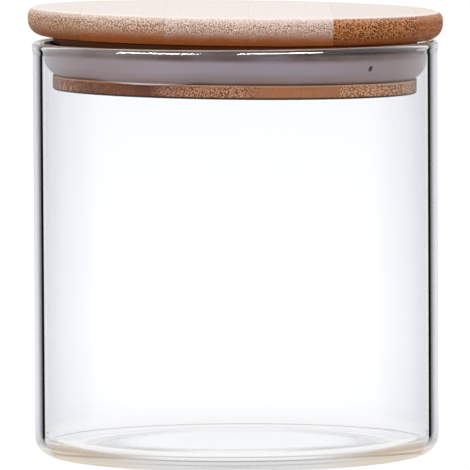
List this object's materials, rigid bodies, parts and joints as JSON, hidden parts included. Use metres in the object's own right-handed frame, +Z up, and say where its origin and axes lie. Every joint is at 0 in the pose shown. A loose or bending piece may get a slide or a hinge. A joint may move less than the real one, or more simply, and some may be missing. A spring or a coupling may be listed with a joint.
{
  "type": "food canister",
  "caption": "Clear cylindrical glass storage jar with a round bamboo lid, whose grooved plug carries a flared silicone seal ring that closes the mouth.",
  "frame": {"origin": "centre of the face that the jar stands on, on the jar's axis", "axes": "+Z up along the jar's axis; -Y is the pictured front, across the end grain of the bamboo; +X to the right of the picture"},
  "size_m": [0.1026, 0.1026, 0.1112],
  "materials": {
    "clear_glass": "clear, smooth, fire-polished",
    "lid_bamboo": "sanded bamboo with a thin clear satin oil",
    "plug_bamboo": "turned bamboo, matt",
    "silicone": "soft translucent silicone, matt"
  },
  "bodies": {
    "jar": {"glass_jar": "clear_glass"},
    "seal": {"seal_ring": "silicone"},
    "lid": {"lid_strip_1": "lid_bamboo", "lid_strip_2": "lid_bamboo", "lid_strip_3": "lid_bamboo", "lid_strip_4": "lid_bamboo", "lid_strip_5": "lid_bamboo", "lid_strip_6": "lid_bamboo", "plug_strip_1": "plug_bamboo", "plug_strip_2": "plug_bamboo", "plug_strip_3": "plug_bamboo", "plug_strip_4": "plug_bamboo"}
  },
  "joints": [
    {"name": "lid_lift", "type": "slide", "parent": "jar", "child": "seal", "axis": [0, 0, 1], "range_m": [0, 0.1]},
    {"name": "lid_turn", "type": "hinge", "parent": "seal", "child": "lid", "pos_m": [0, 0, 0.09917], "axis": [0.0168, 0, 0.9999], "continuous": true}
  ]
}
